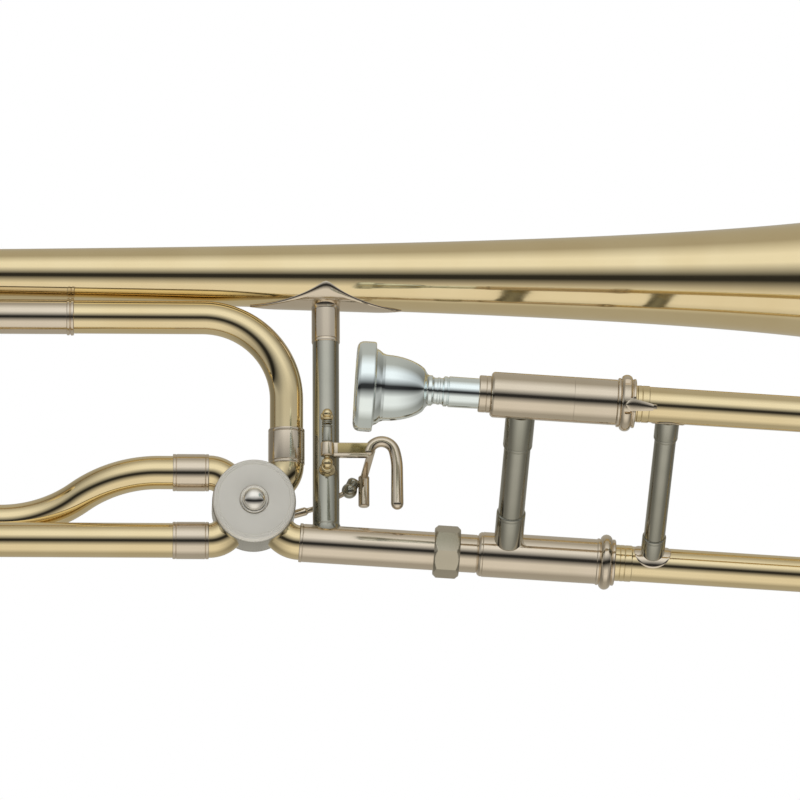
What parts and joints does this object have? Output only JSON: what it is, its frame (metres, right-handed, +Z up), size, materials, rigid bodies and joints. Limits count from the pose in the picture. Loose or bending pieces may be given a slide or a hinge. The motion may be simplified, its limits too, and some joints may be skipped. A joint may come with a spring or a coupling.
{
  "type": "trombone",
  "caption": "Tenor trombone with a thumb-operated rotary valve, looped extra tubing, flared bell, telescoping hand slide, tuning slides and a cup mouthpiece.",
  "frame": {"origin": "on the neckpipe's axis straight under the bell brace, where the left hand holds the instrument", "axes": "+X forward along the bell's axis towards its mouth, +Z up from the neckpipe to the bell, +Y to the side away from the mouthpiece; the hand slide slopes 3.5 degrees down from +X"},
  "size_m": [1.1538, 0.216, 0.2915],
  "materials": {
    "lacquered_brass": "clear-lacquered polished yellow brass",
    "nickel_silver": "polished nickel silver under clear lacquer",
    "silver_plate": "polished silver plate",
    "satin_nickel": "satin nickel silver, turned face",
    "chrome_plate": "hard chrome on the sliding tubes",
    "cork": "fine-grained cork",
    "black_rubber": "matt moulded rubber",
    "spring_steel": "blued spring wire"
  },
  "bodies": {
    "bell_section": {"bell_stem": "lacquered_brass", "bell_flare": "lacquered_brass", "bell_brace_flange": "nickel_silver", "bell_brace_socket": "nickel_silver", "bell_brace_tube": "nickel_silver", "neckpipe": "nickel_silver", "valve_casing": "nickel_silver", "valve_cap": "satin_nickel", "valve_knuckles": "lacquered_brass", "rear_bearing_plate": "nickel_silver", "stop_corks": "cork", "tube_ferrules": "nickel_silver", "main_tube": "lacquered_brass", "upper_tuning_sleeve": "nickel_silver", "lower_tuning_sleeve": "nickel_silver", "f_elbow_tube": "lacquered_brass", "f_sleeves": "nickel_silver", "f_return_tube": "lacquered_brass", "f_rear_bend": "lacquered_brass", "f_entry_tube": "lacquered_brass", "wrap_braces": "nickel_silver", "lever_hinge_posts": "lacquered_brass", "lever_spring": "spring_steel"},
    "receiver_nut": {"receiver_nut": "nickel_silver"},
    "slide_inner": {"slide_tenon": "nickel_silver", "lower_barrel": "nickel_silver", "upper_barrel": "nickel_silver", "leadpipe": "nickel_silver", "upper_inner_tube": "chrome_plate", "lower_inner_tube": "chrome_plate", "inner_brace_tube": "nickel_silver", "inner_brace_sockets": "nickel_silver", "slide_corks": "cork"},
    "lock_ring": {"slide_lock_ring": "nickel_silver"},
    "slide_outer": {"upper_outer_tube": "lacquered_brass", "lower_outer_tube": "lacquered_brass", "outer_end_ferrules": "lacquered_brass", "lock_hook": "nickel_silver", "outer_brace_tube": "nickel_silver", "outer_brace_sockets": "nickel_silver", "slide_crook": "lacquered_brass", "crook_ferrules": "nickel_silver", "slide_bumper": "black_rubber", "water_key_saddle": "nickel_silver", "water_key_spring": "spring_steel"},
    "water_key": {"water_key_lever": "nickel_silver", "water_key_cork": "cork"},
    "main_tuning_slide": {"tuning_legs": "nickel_silver", "tuning_bow": "lacquered_brass", "tuning_bow_ferrules": "nickel_silver"},
    "f_tuning_slide": {"f_tuning_legs": "nickel_silver", "f_tuning_bow": "lacquered_brass", "f_tuning_ferrules": "nickel_silver"},
    "rotor": {"rotor": "lacquered_brass", "stop_arm": "nickel_silver"},
    "link": {"link_rod": "nickel_silver"},
    "lever": {"lever_arm": "nickel_silver", "thumb_hook": "nickel_silver"},
    "mouthpiece": {"mouthpiece": "silver_plate"}
  },
  "joints": [
    {"name": "slide_swivel", "type": "hinge", "parent": "bell_section", "child": "slide_inner", "pos_m": [0, 0, 0], "axis": [0.9981, 0, -0.061], "range_deg": [0, 40]},
    {"name": "receiver_nut_turn", "type": "hinge", "parent": "bell_section", "child": "receiver_nut", "pos_m": [0.0539, 0, -0.0033], "axis": [0.9981, 0, -0.061], "continuous": true},
    {"name": "hand_slide", "type": "slide", "parent": "slide_inner", "child": "slide_outer", "axis": [0.9981, 0, -0.061], "range_m": [0, 0.6]},
    {"name": "slide_lock_turn", "type": "hinge", "parent": "slide_inner", "child": "lock_ring", "pos_m": [0.12899, -0.07281, 0.04511], "axis": [0.9981, 0, -0.061], "range_deg": [0, 40]},
    {"name": "water_key_hinge", "type": "hinge", "parent": "slide_outer", "child": "water_key", "pos_m": [0.75015, 0.01011, -0.05324], "axis": [0.0494, 0.5878, 0.8075], "range_deg": [0, 15], "stiffness_Nm_per_rad": 0.03, "springref_deg": -28.65},
    {"name": "main_tuning_pull", "type": "slide", "parent": "bell_section", "child": "main_tuning_slide", "axis": [-1, 0, 0], "range_m": [0, 0.045]},
    {"name": "f_tuning_pull", "type": "slide", "parent": "bell_section", "child": "f_tuning_slide", "axis": [-1, 0, 0], "range_m": [0, 0.022]},
    {"name": "lever_hinge", "type": "hinge", "parent": "bell_section", "child": "lever", "pos_m": [0.0003, -0.0105, 0.045], "axis": [0, 0, 1], "range_deg": [0, 22], "stiffness_Nm_per_rad": 0.2, "springref_deg": -20.05},
    {"name": "rotor_turn", "type": "hinge", "parent": "bell_section", "child": "rotor", "pos_m": [-0.0323, -0.00091, 0.01687], "axis": [0, 0.9982, 0.0593], "range_deg": [0, 90]},
    {"name": "link_pivot", "type": "hinge", "parent": "rotor", "child": "link", "pos_m": [-0.02624, 0.01527, 0.01433], "axis": [0, 0.9982, 0.0593], "range_deg": [-94, 0]},
    {"name": "mouthpiece_pull", "type": "slide", "parent": "slide_inner", "child": "mouthpiece", "axis": [-0.9981, 0, 0.061], "range_m": [0, 0.05]}
  ],
  "couplings": [
    {"joint": "rotor_turn", "follows": "lever_hinge", "ratio": 4.0909},
    {"joint": "link_pivot", "follows": "lever_hinge", "ratio": -4.2727}
  ]
}
